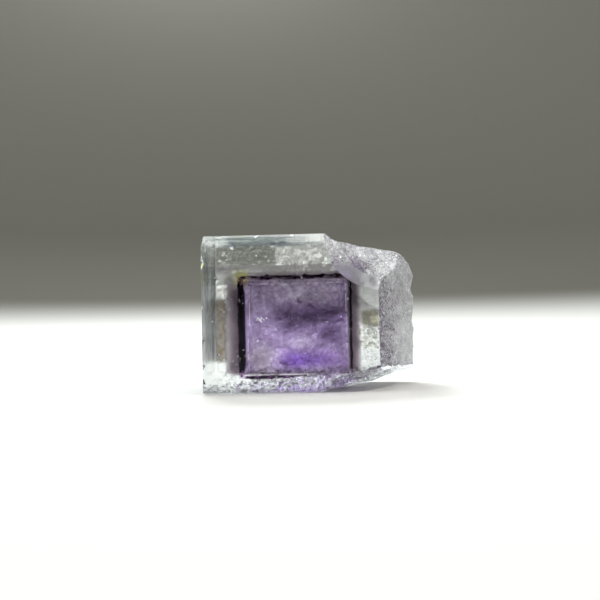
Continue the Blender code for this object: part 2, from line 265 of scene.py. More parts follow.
def cleavageGroup():
    # tiny flat facets, as of broken spar: each cell of a pattern tilts its own way
    tree, given, out = newGroup("cleavageGrain", {"Vector": "Vector", "Size": "Float"},
                                {"Height": "Float", "Chance": "Float"})
    scaled = vectorCalc(tree, "DIVIDE", given["Vector"], combine(tree, given["Size"]))
    cells = tree.nodes.new("ShaderNodeTexVoronoi")
    cells.inputs["Scale"].default_value = 1.0
    cells.inputs["Randomness"].default_value = cleavage["randomness"]
    tree.links.new(scaled, cells.inputs["Vector"])
    lean = vectorCalc(tree, "SUBTRACT", cells.outputs["Color"], (cleavage["middle"],) * 3)
    away = vectorCalc(tree, "SUBTRACT", scaled, cells.outputs["Position"])
    tree.links.new(vectorCalc(tree, "DOT_PRODUCT", lean, away), out["Height"])
    tree.links.new(separate(tree, cells.outputs["Color"])[0], out["Chance"])
    return tree


def patchMask(tree, place, patch, wander):
    # 1 inside a patch, with soft uneven edges
    blur = patch["blur"]
    sides = []
    for axis, low, high in zip((0, 2), patch["low"], patch["high"]):
        value = calc(tree, "ADD", place[axis], wander)
        sides.append(rise(tree, value, low - blur, low + blur))
        sides.append(fall(tree, value, high - blur, high + blur))
    return product(tree, *sides)


def patchGroup():
    # the back face's patches: their frosting, how strongly their facets stand out, and their tint, which for
    # the brown patch is a painted shadow
    tree, given, out = newGroup("backPatches", {"Vector": "Vector", "Frost": "Float", "Tint": "Color"},
                                {"Frost": "Float", "Grain": "Float", "Tint": "Color"})
    vector = given["Vector"]
    place = separate(tree, vector)
    ragged = calc(tree, "SUBTRACT", cloud(tree, vector, patchEdges["raggedSize"], 4, 0.6), 0.5)
    ragged = calc(tree, "MULTIPLY", ragged, patchEdges["ragged"])
    mottling = cloud(tree, vector, patchEdges["mottleSize"], 5, 0.7)
    mottling = rise(tree, mottling, *patchEdges["mottleFrom"], *patchEdges["mottle"])
    frost, graining, colour = given["Frost"], glass["plainGrain"], given["Tint"]
    for patch in backPatches.values():
        mask = patchMask(tree, place, patch, ragged)
        frost = towards(tree, mask, frost, patch["frost"])
        graining = towards(tree, mask, graining, patch["grain"])
        colour = blend(tree, product(tree, mask, mottling), colour, patch["tint"])
    for value, label in ((frost, "Frost"), (graining, "Grain"), (colour, "Tint")):
        tree.links.new(value, out[label])
    return tree


cleavageGrain = cleavageGroup()
patchNodes = patchGroup()


def grain(tree, vector, size):
    return useGroup(tree, cleavageGrain, Vector=vector, Size=size)


def patches(tree, vector, frost, tint):
    made = useGroup(tree, patchNodes, Vector=vector, Frost=frost, Tint=tint)
    return [made[label] for label in ("Frost", "Grain", "Tint")]


def naturalFaces(tree, place):
    # masks of the block's own faces
    thin, thick = glass["edge"]
    on = {
        "left": fall(tree, place[0], thin, thick),
        "front": fall(tree, place[1], thin, thick),
        "back": rise(tree, place[1], block.y - thick, block.y - thin),
        "foot": fall(tree, place[2], thin, thick),
        "top": rise(tree, place[2], block.z - thick, block.z - thin),
    }
    on["sides"] = calc(tree, "SUBTRACT", 1.0, calc(tree, "MAXIMUM", on["back"], on["front"]))
    return on


def growthLines(tree, vector):
    # the lines keep one depth, so they are long and stand one behind the other
    wander = combine(tree, cloud(tree, vector, glass["bendSize"], 2))
    bent = vectorCalc(tree, "MULTIPLY", wander, (0, glass["bend"], 0))
    stretch = (1 / glass["streakLength"], 1 / glass["streakSize"], 1 / glass["streakLength"])
    along = vectorCalc(tree, "MULTIPLY_ADD", vector, stretch, bent)
    lines = cloud(tree, along, 1.0, 5, 0.7)
    frosting = cloud(tree, vectorCalc(tree, "ADD", along, glass["streakShift"]), 1.0, 3, 0.6)
    return lines, rise(tree, frosting, *glass["streakFrom"], *glass["streakFrost"])


def scuffMask(tree, vector, place, onFront):
    ragged = glass["scuffRagged"]
    scuffs = calc(tree, "MULTIPLY_ADD", cloud(tree, vector, glass["scuffSize"], 4, 0.6), ragged, -ragged / 2)
    above = calc(tree, "MULTIPLY_ADD", place[0], -glass["scuffRise"], calc(tree, "ADD", place[2], scuffs))
    start, end = [glass["scuffTop"] + blur for blur in glass["scuffBlur"]]
    return product(tree, fall(tree, above, start, end), onFront)


def naturalTintAndPaintedShade(tree, on, lines, leftFoot, patchTintsAndPaintedShadow):
    # painted shade: the left and top faces darken in streaks, except at the left face's foot
    streaked = rise(tree, lines, *glass["paintedShadeFrom"])
    leftPaintedShade = blend(tree, streaked, glass["leftPaintedShade"], glass["leftPaintedShadeLight"])
    topPaintedShade = blend(tree, streaked, glass["topPaintedShade"], glass["topPaintedShadeLight"])
    tint = blend(tree, product(tree, on["left"], on["sides"]), glass["body"], leftPaintedShade)
    tint = blend(tree, product(tree, on["top"], on["sides"]), tint, topPaintedShade)
    tint = blend(tree, leftFoot, tint, glass["body"])
    return blend(tree, on["back"], tint, patchTintsAndPaintedShadow)


def naturalFrost(tree, on, streaks, lined, etch, frost, scuffed):
    roughness = towards(tree, on["back"], glass["polish"], frost)
    polished = calc(tree, "MULTIPLY_ADD", on["top"], glass["topPolish"] - 1, 1.0)
    roughness = calc(tree, "MULTIPLY_ADD", product(tree, streaks, polished), lined, roughness)
    footFrost = product(tree, etch, glass["footFrost"], on["foot"], on["sides"])
    roughness = calc(tree, "ADD", footFrost, roughness)
    roughness = calc(tree, "MULTIPLY_ADD", scuffed, glass["scuffFrost"], roughness)
    return calc(tree, "MINIMUM", roughness, glass["mostFrost"])


def naturalRelief(tree, vector, on, lines, lined, graining, scuffed):
    coarseSize, fineSize = glass["facets"]
    coarse = grain(tree, vector, coarseSize)["Height"]
    fine = grain(tree, vector, fineSize)["Height"]
    facets = calc(tree, "MULTIPLY_ADD", fine, fineSize, calc(tree, "MULTIPLY", coarse, coarseSize))
    footGrain = calc(tree, "MULTIPLY", on["foot"], glass["footGrain"])
    steepness = calc(tree, "MAXIMUM", product(tree, graining, on["back"]), footGrain)
    etched = calc(tree, "MULTIPLY", cloud(tree, vector, glass["etchGrain"], 3), glass["etchDepth"])
    etched = calc(tree, "MULTIPLY_ADD", product(tree, facets, steepness), glass["facetSlope"], etched)
    height = product(tree, lines, lined, glass["streakDepth"])
    height = calc(tree, "MULTIPLY_ADD", etched, calc(tree, "MAXIMUM", on["back"], on["foot"]), height)
    grit = calc(tree, "MULTIPLY", fine, glass["scuffSlope"] * fineSize)
    return calc(tree, "MULTIPLY_ADD", grit, scuffed, height)


def naturalGlass():
    material, tree, surface = newMaterial("clearFluorite")
    surface.inputs["IOR"].default_value = glass["ior"]
    surface.inputs["Specular Tint"].default_value = glass["gloss"]
    surface.inputs["Transmission Weight"].default_value = 1.0
    vector = millimetres(tree)
    place = separate(tree, vector)
    on = naturalFaces(tree, place)
    lines, streaks = growthLines(tree, vector)
    etch = cloud(tree, vector, glass["etchSize"], 5, 0.6)
    frost = rise(tree, etch, *glass["etchFrom"], *glass["etchFrost"])
    frost, graining, patchTintsAndPaintedShadow = patches(tree, vector, frost, glass["body"])
    ragged = glass["footRagged"]
    footUp = calc(tree, "MULTIPLY_ADD", etch, ragged, calc(tree, "SUBTRACT", place[2], ragged / 2))
    leftFoot = product(tree, on["left"], on["sides"], fall(tree, footUp, *glass["footEnd"]))
    lined = calc(tree, "SUBTRACT", on["sides"], leftFoot)  # where growth lines show
    scuffed = scuffMask(tree, vector, place, on["front"])
    tint = naturalTintAndPaintedShade(tree, on, lines, leftFoot, patchTintsAndPaintedShadow)
    roughness = naturalFrost(tree, on, streaks, lined, etch, frost, scuffed)
    height = naturalRelief(tree, vector, on, lines, lined, graining, scuffed)
    tree.links.new(tint, surface.inputs["Base Color"])
    tree.links.new(roughness, surface.inputs["Roughness"])
    tree.links.new(bump(tree, height, 1.0), surface.inputs["Normal"])
    return material


broken = {
    "clear": 0.9, "frost": (0.10, 0.42), "facet": 0.34, "crumb": 0.11, "slope": 0.5,
    "tint": (0.33, 0.31, 0.36, 1), "pale": (0.62, 0.61, 0.65, 1),
}
crushed = {
    "clear": 0.6, "frost": (0.12, 0.45), "facet": 0.32, "crumb": 0.13, "slope": 1.3,
    "tint": (0.36, 0.36, 0.38, 1), "pale": (0.86, 0.87, 0.88, 1),
}
breaks = {"mottleSize": 1.1, "mottleFrom": (0.35, 0.65), "chanceFrom": (0.2, 0.8), "crumbSlope": 1.8}
# The shell-shaped break at the upper right is smoother, with painted shade that darkens one small facet. Its
# first five pairs, in mm, say how far from its centre it starts, and where it ends behind, below, to the
# right and above.
dish = {
    "centre": (14.74, 0, 12.73), "from": (3.6, 3.8), "depth": (0.8, 1.2), "foot": (6.0, 7.0),
    "end": (14.0, 14.3), "top": (10.0, 11.0), "topRagged": 0.8,
    "frost": 0.6, "flatter": 0.97, "tint": (0.58, 0.59, 0.62, 1),
    "facetCentre": (13.75, 0, 8.8), "facetSize": (0.34, 0.62), "facetFrom": (0.3, 1.3),
    "raggedSize": 0.4, "ragged": 1.2, "facetPaintedShade": (0.22, 0.20, 0.24, 1),
}
# the shallow broken patch on the back
scar = {"from": (1.0, 0.7), "frost": 0.6, "flatter": 0.9, "tint": (0.90, 0.89, 0.92, 1)}


def dishMask(tree, vector, place, mottling):
    away = vectorCalc(tree, "DISTANCE", vectorCalc(tree, "MULTIPLY", vector, (1, 0, 1)), dish["centre"])
    wavy = calc(tree, "MULTIPLY_ADD", mottling, dish["topRagged"], place[2])
    return product(tree, rise(tree, away, *dish["from"]), fall(tree, place[1], *dish["depth"]),
                   rise(tree, place[2], *dish["foot"]), fall(tree, wavy, *dish["top"]),
                   fall(tree, place[0], *dish["end"]))


def dishColour(tree, vector):
    # painted shade: one small facet is darkened in colour only
    wide, tall = dish["facetSize"]
    away = vectorCalc(tree, "SUBTRACT", vector, dish["facetCentre"])
    away = vectorCalc(tree, "MULTIPLY", away, (1 / wide, 0, 1 / tall))
    ragged = cloud(tree, vector, dish["raggedSize"], 3)
    ragged = calc(tree, "MULTIPLY_ADD", ragged, dish["ragged"], -dish["ragged"] / 2)
    onShadedFacet = fall(tree, calc(tree, "ADD", vectorCalc(tree, "LENGTH", away), ragged), *dish["facetFrom"])
    return blend(tree, onShadedFacet, dish["tint"], dish["facetPaintedShade"])


def brokenGlass(name, look):
    material, tree, surface = newMaterial(name)
    surface.inputs["IOR"].default_value = glass["ior"]
    surface.inputs["Transmission Weight"].default_value = look["clear"]
    vector = millimetres(tree)
    place = separate(tree, vector)
    mottling = rise(tree, cloud(tree, vector, breaks["mottleSize"], 4), *breaks["mottleFrom"])
    inDish = dishMask(tree, vector, place, mottling)
    atScar = rise(tree, place[1], *[block.y - inwards for inwards in scar["from"]])
    coarse = grain(tree, vector, look["facet"])
    fine = grain(tree, vector, look["crumb"])
    scarFrost, graining, patchTintsAndPaintedShadow = patches(tree, vector, scar["frost"], scar["tint"])
    frost = rise(tree, fine["Chance"], *breaks["chanceFrom"], *look["frost"])
    frost = towards(tree, inDish, frost, dish["frost"])
    tree.links.new(towards(tree, atScar, frost, scarFrost), surface.inputs["Roughness"])
    colour = blend(tree, mottling, look["tint"], look["pale"])
    colour = blend(tree, inDish, colour, dishColour(tree, vector))
    tree.links.new(blend(tree, atScar, colour, patchTintsAndPaintedShadow), surface.inputs["Base Color"])
    height = calc(tree, "MULTIPLY", coarse["Height"], look["facet"] * look["slope"])
    crumbs = look["crumb"] * look["slope"] * breaks["crumbSlope"]
    height = calc(tree, "MULTIPLY_ADD", fine["Height"], crumbs, height)
    atScarSlope = calc(tree, "SUBTRACT", graining, scar["flatter"])
    steep = calc(tree, "MULTIPLY_ADD", atScar, atScarSlope, 1.0)
    steep = calc(tree, "MULTIPLY", steep, calc(tree, "MULTIPLY_ADD", inDish, -dish["flatter"], 1.0))
    tree.links.new(bump(tree, calc(tree, "MULTIPLY", height, steep), 1.0), surface.inputs["Normal"])
    return material


def zoneGlass(name, colour, density):
    # colour inside the crystal: grown in for the violet zones, painted shade for the grey skins. It bends no
    # light, it only takes colour away
    material, tree, surface = newMaterial(name)
    surface.inputs["IOR"].default_value = 1.0
    surface.inputs["Transmission Weight"].default_value = 1.0
    surface.inputs["Roughness"].default_value = 0.0
    surface.inputs["Base Color"].default_value = (1, 1, 1, 1)
    absorb = tree.nodes.new("ShaderNodeVolumeAbsorption")
    absorb.inputs["Color"].default_value = (*colour, 1)
    absorb.inputs["Density"].default_value = density
    tree.links.new(absorb.outputs[0], tree.nodes["Material Output"].inputs["Volume"])
    return material


clearFluorite = naturalGlass()
brokenFluorite = brokenGlass("brokenFluorite", broken)
crushedFluorite = brokenGlass("crushedFluorite", crushed)
print("materials ready")

fracture = {
    "slack": 0.02, "flat": 0.99999, "dissolveAngle": 0.001,
    "nickArea": 1.2, "footBelow": 2.8, "footLean": 0.3,
    "cuts": 2, "smoothing": 2, "smoothBy": 0.5, "lump": 0.35, "lumpHeight": 0.035, "lumpShift": (7, 3, 5),
    "grain": 0.12, "grainHeight": 0.016, "grainShift": (2, 9, 4),
}


def islands(faces):
    # groups of faces joined edge to edge
    left = set(faces)
    while left:
        group, edge = [], [left.pop()]
        while edge:
            face = edge.pop()
            group.append(face)
            near = {f for e in face.edges for f in e.link_faces if f in left}
            left -= near
            edge.extend(near)
        yield group


def wholeCrystal():
    # the clear crystal's two solids as one mesh, without the pocket and the seam between them
    bm = bmesh.new()
    for node in ("fluorite_cube", "fluorite_cube_left"):
        bm.from_mesh(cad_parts[node].data)
    bmesh.ops.remove_doubles(bm, verts=bm.verts, dist=tiny)
    slack = fracture["slack"]
    margin = Vector((1, 1, 1)) * (gap + slack)
    pocketLow, pocketHigh = cubeLow - margin, cubeHigh + margin
    places = {v: (v.co - corner) / mm for v in bm.verts}
    inSeam = {v for v, p in places.items() if cubeLow.x - gap - slack < p.x < cubeLow.x + slack}
    inPocket = {v for v, p in places.items() if all(a < c < b for a, c, b in zip(pocketLow, p, pocketHigh))}
    hidden = [f for f in bm.faces if inSeam.issuperset(f.verts) or inPocket.issuperset(f.verts)]
    bmesh.ops.delete(bm, geom=hidden, context="FACES")
    bmesh.ops.bridge_loops(bm, edges=[e for e in bm.edges if e.is_boundary])
    bm.normal_update()
    return bm


def isFlat(face):
    # the natural faces lie square to an axis
    return max(abs(part) for part in face.normal) > fracture["flat"]


def mergeFlats(bm):
    # each natural face becomes one face
    flat = {f for f in bm.faces if isFlat(f)}
    inner = [e for e in bm.edges if all(f in flat for f in e.link_faces)]
    ends = list({v for e in inner for v in e.verts})
    bmesh.ops.dissolve_limit(bm, angle_limit=fracture["dissolveAngle"], edges=inner, verts=ends)
    bm.normal_update()


def chooseMaterials(bm):
    # breaks larger than a nick are broken glass, or crushed where they face down near the foot
    for group in islands([f for f in bm.faces if not isFlat(f)]):
        if sum(f.calc_area() for f in group) / mm ** 2 > fracture["nickArea"]:
            for f in group:
                middle = (f.calc_center_median() - corner) / mm
                underFoot = middle.z < fracture["footBelow"] and f.normal.z < -fracture["footLean"]
                f.material_index = 2 if underFoot else 1
                f.smooth = True


def roughenBreaks(bm):
    # lumps and crumbs on the breaks, up to their edges
    for _ in range(fracture["cuts"]):
        edges = list({e for f in bm.faces if f.material_index for e in f.edges})
        bmesh.ops.subdivide_edges(bm, edges=edges, cuts=1, use_grid_fill=True)
    free = [v for v in bm.verts if all(f.material_index for f in v.link_faces)]
    for _ in range(fracture["smoothing"]):
        bmesh.ops.smooth_vert(bm, verts=free, factor=fracture["smoothBy"],
                              use_axis_x=True, use_axis_y=True, use_axis_z=True)
    bm.normal_update()
    for v in free:
        p = v.co / mm
        lump = noise.noise(p / fracture["lump"] + Vector(fracture["lumpShift"])) * fracture["lumpHeight"]
        crumb = noise.noise(p / fracture["grain"] + Vector(fracture["grainShift"])) * fracture["grainHeight"]
        v.co += v.normal * (lump + crumb) * mm
    for e in bm.edges:
        e.smooth = all(f.material_index for f in e.link_faces)


def crystalBody():
    bm = wholeCrystal()
    mergeFlats(bm)
    chooseMaterials(bm)
    roughenBreaks(bm)
    obj = addPiece("fluorite_crystal", bm, [clearFluorite, brokenFluorite, crushedFluorite])
    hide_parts("fluorite_cube", "fluorite_cube_left")
    return obj


crystal = crystalBody()
print("crystal", len(crystal.data.polygons), "faces")

# The dark rim is a thin-walled box round the violet cube. Unevenness thins its walls from inside, and
# fuzz adds tufts outside; both are drawn out along the depth by a smear.
rim = {
    "low": cubeLow + Vector((-0.15, -0.3, -0.45)), "high": cubeHigh + Vector((0.16, 0.2, 0.2)),
    "walls": {"left": 0.16, "right": 0.13, "front": 0.03, "back": 0.04, "bottom": 0.035, "top": 0.12},
    "unevenness": {"left": 0.05, "right": 0.9, "front": 0.8, "back": 0.8, "bottom": 0.5, "top": 2.6},
    "waverSizes": (1.2, 0.3), "waverShares": (1.8, 1.1), "smear": 0.2, "least": 0.04,
    "openCorner": 0.9, "cornerStart": 0.25,
    "fuzz": {"left": 0.14, "right": 0.16, "bottom": 0.1, "top": 0.26},
    "fuzzFloor": {"left": 0.15, "right": 0.1, "bottom": 0.15, "top": -0.05},
    "fuzzSize": 0.28, "fuzzSmear": 0.12,
    "cells": 64, "seed": 3, "colour": (0.44, 0.16, 0.52), "density": 4600,
}
# Each slab of colour faces along one axis; where it is thicker its colour is deeper. Lumps are
# (across, up, half width, half height, added thickness), in mm. Threads are thin deep lines. Across and
# up are the slab's two sides, in the order of the axes.
violetCore = {
    "axis": 1, "low": (2.98, 1.3), "high": (11.8, 9.15), "innerLow": (3.45, 1.8), "innerHigh": (11.5, 8.72),
    "edge": 0.12, "outside": 0.85, "middle": 6.3, "cell": 0.1, "thick": 2.4, "least": 0.2,
    "waver": 0.7, "waverSizes": (2.2, 0.8, 0.35), "shares": (1.0, 0.6, 0.4), "seed": 4,
    "lumps": ((8.3, 2.4, 2.3, 0.6, 3.4), (6.9, 2.6, 0.6, 0.7, 1.2), (7.5, 2.4, 0.5, 0.5, 1.5),
              (4.2, 2.6, 1.2, 1.3, -2.8), (8.5, 3.7, 1.3, 0.5, -0.7), (7.4, 8.0, 4.2, 1.6, -1.3)),
    "threads": ((((6.3, 3.9), (6.2, 2.9), (6.5, 2.2)), 0.14, 1.6),),
    "colour": (0.56, 0.35, 0.82), "density": 430,
}
smoke = {
    "axis": 1, "low": (2.98, 1.3), "high": (11.8, 9.15), "innerLow": (3.6, 1.86), "innerHigh": (11.5, 8.64),
    "edge": 0.12, "outside": 1.15, "middle": 4.3, "cell": 0.075, "thick": 1.12, "least": 0.05,
    "waver": 0.8, "waverSizes": (1.2, 0.42, 0.18), "shares": (1.0, 0.9, 1.2), "seed": 11,
    "lumps": ((8.6, 6.3, 2.1, 0.8, 2.5), (6.5, 6.0, 1.0, 0.8, 1.4), (10.3, 4.5, 0.85, 0.6, 1.9),
              (10.7, 6.2, 0.8, 0.45, 1.0), (5.0, 7.6, 1.4, 0.9, 0.4), (4.3, 2.7, 1.2, 1.1, 1.6),
              (7.0, 2.6, 4.0, 1.2, -0.5), (9.9, 8.5, 1.2, 0.35, -0.8), (4.9, 5.0, 1.2, 0.7, -0.2),
              (8.4, 3.6, 1.5, 0.6, -0.4)),
    "threads": ((((7.65, 7.42), (8.65, 6.92), (9.32, 6.34), (11.57, 6.17)), 0.1, 2.6),
                (((6.0, 6.0), (7.4, 6.2), (8.8, 5.8), (11.4, 5.6)), 0.09, 1.6),
                (((5.9, 6.9), (6.6, 6.3), (7.9, 6.5), (8.6, 6.9)), 0.08, 1.3),
                (((6.1, 2.3), (6.8, 2.05), (7.5, 2.25)), 0.08, 2.4),
                (((7.6, 2.5), (8.6, 2.2), (9.9, 2.6), (10.6, 2.3)), 0.07, 1.5),
                (((3.62, 1.9), (3.62, 8.6)), 0.07, 1.5), (((3.6, 8.62), (11.5, 8.62)), 0.07, 0.9)),
    "ring": {"centre": (6.4, 8.09), "radius": 0.6, "width": 0.14, "less": 0.7},
    "colour": (0.50, 0.43, 0.53), "density": 950,
}
# the haze round the violet cube fades outwards: how far it reaches, and how thick it is beside the cube
haze = {
    "axis": 1, "low": (1.1, 1.1), "high": (12.95, 10.5), "middle": 6.4, "cell": 0.13, "least": 0.04,
    "reach": {"left": 1.65, "right": 1.0, "bottom": 0.35, "top": 0.7},
    "thick": {"left": 5.2, "right": 4.8, "bottom": 0.8, "top": 3.4},
    "clearing": {"centre": (2.6, 9.5), "size": 0.95},
    "waver": 0.22, "waverSize": 1.1, "upright": 0.5, "seed": 9,
    "colour": (0.56, 0.50, 0.55), "density": 1100,
}
# painted shade: faint grey sheets just under the left and top faces, streaked along them
skins = {
    "left_painted_shade": {
        "axis": 0, "low": (0.4, 1.7), "high": (12.6, 12.2), "middle": 0.13, "cell": 0.12,
        "thick": 0.03, "least": 0.003, "waver": 0.03, "stretch": (0.4, 9.0), "seed": 21,
        "lumps": ((6.5, 1.7, 9.0, 0.8, -0.08), (6.5, 12.2, 9.0, 1.6, -0.06)),
        "threads": ((((1.7, 0.8), (1.5, 12.0)), 0.4, 0.05), (((4.0, 2.5), (3.8, 12.0)), 0.6, 0.06),
                    (((8.0, 2.5), (8.3, 11.0)), 0.9, 0.06)),
    },
    "top_painted_shade": {
        "axis": 2, "low": (0.4, 0.4), "high": (9.0, 12.6), "middle": 12.47, "cell": 0.12,
        "thick": 0.036, "least": 0.003, "waver": 0.05, "stretch": (5.0, 0.5), "seed": 27,
        "lumps": ((7.6, 4.0, 1.5, 2.5, -0.03),),
        "threads": ((((1.9, 6.5), (3.0, 8.0), (4.4, 5.5), (6.0, 7.5), (7.4, 5.0)), 0.8, 0.07),
                    (((0.8, 3.0), (3.0, 2.2), (5.5, 3.2), (8.5, 2.4)), 0.5, 0.06)),
    },
}
skinGlass = {"fade": 2.5, "leastShare": 0.1, "colour": (0.50, 0.53, 0.55), "density": 2600}
# how threads and rings stray from their lines, how patchy threads are, and how softly a slab thins out
stray = {
    "size": 0.6, "far": 0.25, "seeds": (3, 8), "ringShare": 0.3,
    "patchSize": 0.8, "patchiness": 1.5, "patchSeed": 5, "softness": 0.25,
}


def boxMesh(bm, low, high, cells):
    verts = bmesh.ops.create_cube(bm, size=1.0)["verts"]
    bmesh.ops.scale(bm, vec=high - low, verts=verts)
    bmesh.ops.translate(bm, vec=(low + high) / 2, verts=verts)
    edges = list({e for v in verts for e in v.link_edges})
    bmesh.ops.subdivide_edges(bm, edges=edges, cuts=cells, use_grid_fill=True)


def boxSides(low, high):
    # each side's name, axis, place on that axis and outward direction
    names = (("left", "right"), ("front", "back"), ("bottom", "top"))
    for axis, pair in enumerate(names):
        for side, edge, sign in zip(pair, (low[axis], high[axis]), (-1, 1)):
            yield side, axis, edge, sign


def wallShare(p, side, axis, sign, low, high):
    # how much of a wall's thickness is left beside a point of its inner side
    where = p if axis == 1 else Vector((p.x, p.y * rim["smear"], p.z))
    coarse, fine = rim["waverSizes"]
    coarseShare, fineShare = rim["waverShares"]
    waver = coarseShare * noise.noise(where / coarse + Vector((rim["seed"], axis * 7, sign)))
    waver += fineShare * noise.noise(where / fine + Vector((rim["seed"], 3, sign)))
    share = 1 - rim["unevenness"][side] * (0.5 + 0.5 * waver)
    if axis != 1:
        other = 2 - axis
        reach = min(p[other] - low[other], high[other] - p[other])
        share *= min(1, max(0, reach / rim["openCorner"] - rim["cornerStart"]))
    return min(1, max(rim["least"], share))


def tuft(p, side, sign):
    # how far the rim's outer side stands out at a point
    where = Vector((p.x, p.y * rim["fuzzSmear"], p.z)) / rim["fuzzSize"]
    height = noise.noise(where + Vector((rim["seed"], 9, sign)))
    return rim["fuzz"][side] * max(0, height + rim["fuzzFloor"][side])


def violetRim():
    walls = rim["walls"]
    innerLow = rim["low"] + Vector((walls["left"], walls["front"], walls["bottom"]))
    innerHigh = rim["high"] - Vector((walls["right"], walls["back"], walls["top"]))
    bm = bmesh.new()
    boxMesh(bm, innerLow, innerHigh, rim["cells"])
    for v in bm.verts:
        p = v.co.copy()
        for side, axis, edge, sign in boxSides(innerLow, innerHigh):
            if abs(p[axis] - edge) < tiny:
                share = wallShare(p, side, axis, sign, innerLow, innerHigh)
                v.co[axis] = edge + sign * walls[side] * (1 - share)
    bmesh.ops.reverse_faces(bm, faces=bm.faces)
    inner = set(bm.verts)
    boxMesh(bm, rim["low"], rim["high"], rim["cells"])
    for v in set(bm.verts) - inner:
        p = v.co.copy()
        for side, axis, edge, sign in boxSides(rim["low"], rim["high"]):
            if axis != 1 and abs(p[axis] - edge) < tiny:
                v.co[axis] += sign * tuft(p, side, sign)
    for v in bm.verts:
        v.co = spot(*v.co)
    return addPiece("violet_rim", bm, [zoneGlass("violet_rim", rim["colour"], rim["density"])], "violet_zone")


def slab(name, values, material, thickness):
    # thickness(a, b) is the slab's thickness at a place on its face; both are in mm
    low, high = Vector(values["low"]), Vector(values["high"])
    size = high - low
    axis, middle = values["axis"], values["middle"]
    others = [other for other in range(3) if other != axis]
    bm = bmesh.new()
    counts = [max(2, round(side / values["cell"])) for side in size]
    bmesh.ops.create_grid(bm, x_segments=counts[0], y_segments=counts[1], size=0.5)
    for v in bm.verts:
        a, b = low.x + (v.co.x + 0.5) * size.x, low.y + (v.co.y + 0.5) * size.y
        v.co[others[0]], v.co[others[1]] = a, b
        v.co[axis] = middle - max(values["least"], thickness(a, b)) / 2
    raised = bmesh.ops.extrude_face_region(bm, geom=bm.faces[:])["geom"]
    for v in raised:
        if isinstance(v, bmesh.types.BMVert):
            v.co[axis] = 2 * middle - v.co[axis]
    bmesh.ops.recalc_face_normals(bm, faces=bm.faces)
    for v in bm.verts:
        v.co = spot(*v.co)
    return addPiece(name, bm, [material], "violet_zone")


def waves(a, b, seed, sizes, shares=(1.0, 0.6, 0.4)):
    # noise with three sizes of lump, from about -1 to 1
    return sum(noise.noise(Vector((a / size, seed, b / size))) * share for size, share in zip(sizes, shares))


def skinStreaks(a, b, seed, stretch):
    # the same, drawn out along one side
    place = Vector((a / stretch[0], seed, b / stretch[1]))
    return sum(noise.noise(place * scale) * share for scale, share in ((1, 1.0), (2.3, 0.6), (5.1, 0.4)))


def fromThread(place, points):
    # how far a place is from a line through the points
    away = []
    for start, end in zip(points, points[1:]):
        start, run = Vector(start), Vector(end) - Vector(start)
        share = max(0, min(1, (place - start).dot(run) / run.length_squared))
        away.append((place - start - run * share).length)
    return min(away)


def softly(value):
    # the value where it is well above 0, and close to 0 where it is below
    return stray["softness"] * math.log1p(math.exp(min(50, value / stray["softness"])))


def marks(values, a, b):
    # what a slab's lumps and threads add to its thickness at a place
    place = Vector((a, b))
    wander = Vector([noise.noise(Vector((a, b, seed)) / stray["size"]) for seed in stray["seeds"]])
    wander = wander * stray["far"]
    more = sum(extra * math.exp(-((a - x) / width) ** 2 - ((b - z) / height) ** 2)
               for x, z, width, height, extra in values["lumps"])
    for points, width, extra in values["threads"]:
        patchy = noise.noise(Vector((a, b, stray["patchSeed"])) / stray["patchSize"]) * stray["patchiness"]
        patchy = 0.5 + max(-0.5, patchy)
        more += extra * patchy * math.exp(-(fromThread(place + wander, points) / width) ** 2)
    if "ring" in values:
        ring = values["ring"]
        away = (place - Vector(ring["centre"]) + wander * stray["ringShare"]).length
        more -= ring["less"] * math.exp(-((away - ring["radius"]) / ring["width"]) ** 2)
    return more


def cloudThickness(values):
    (left, foot), (right, top) = values["innerLow"], values["innerHigh"]

    def thickness(across, up):
        uneven = waves(across, up, values["seed"], values["waverSizes"], values["shares"])
        thick = values["thick"] + values["waver"] * uneven
        inside = min(across - left, right - across, up - foot, top - up) / values["edge"]
        share = values["outside"] + (1 - values["outside"]) * min(1, max(0, inside + 0.5))
        return max(values["least"], softly(thick + marks(values, across, up)) * share)
    return thickness


def hazeThickness(across, up):
    beside = {"left": cubeLow.x - across, "right": across - cubeHigh.x,
              "bottom": cubeLow.z - up, "top": up - cubeHigh.z}
    if max(beside.values()) < 0:
        return 0
    shares = {side: max(0, beside[side]) / reach for side, reach in haze["reach"].items()}
    away = math.hypot(*shares.values())
    thick = sum(haze["thick"][side] * share for side, share in shares.items())
    thick /= max(tiny, sum(shares.values()))
    size = haze["waverSize"]
    uneven = waves(across, up * haze["upright"], haze["seed"], (size, size / 2, size / 4))
    x, z = haze["clearing"]["centre"]
    size = haze["clearing"]["size"]
    clearing = 1 - math.exp(-((across - x) / size) ** 2 - ((up - z) / size) ** 2)
    return thick * (1 + haze["waver"] * uneven) * clearing * max(0, 1 - away * away)


def skinThickness(values):
    def thickness(a, b):
        thick = values["thick"] + values["waver"] * skinStreaks(a, b, values["seed"], values["stretch"])
        edge = min(1, a / skinGlass["fade"], (values["high"][0] - a) / skinGlass["fade"])
        return (thick + marks(values, a, b)) * max(skinGlass["leastShare"], edge)
    return thickness


violetRim()
coreGlass = zoneGlass("violetCore", violetCore["colour"], violetCore["density"])
violet = slab("violet_core", violetCore, coreGlass, cloudThickness(violetCore))
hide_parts("violet_cube")
smokeGlass = zoneGlass("violetSmoke", smoke["colour"], smoke["density"])
slab("violet_smoke", smoke, smokeGlass, cloudThickness(smoke))
hazeGlass = zoneGlass("violetHaze", haze["colour"], haze["density"])
slab("violet_haze", haze, hazeGlass, hazeThickness)
# painted shade: grey sheets under the left and top faces darken them
paintedShadeSkin = zoneGlass("paintedShadeSkin", skinGlass["colour"], skinGlass["density"])
for name, values in skins.items():
    slab(name, values, paintedShadeSkin, skinThickness(values))
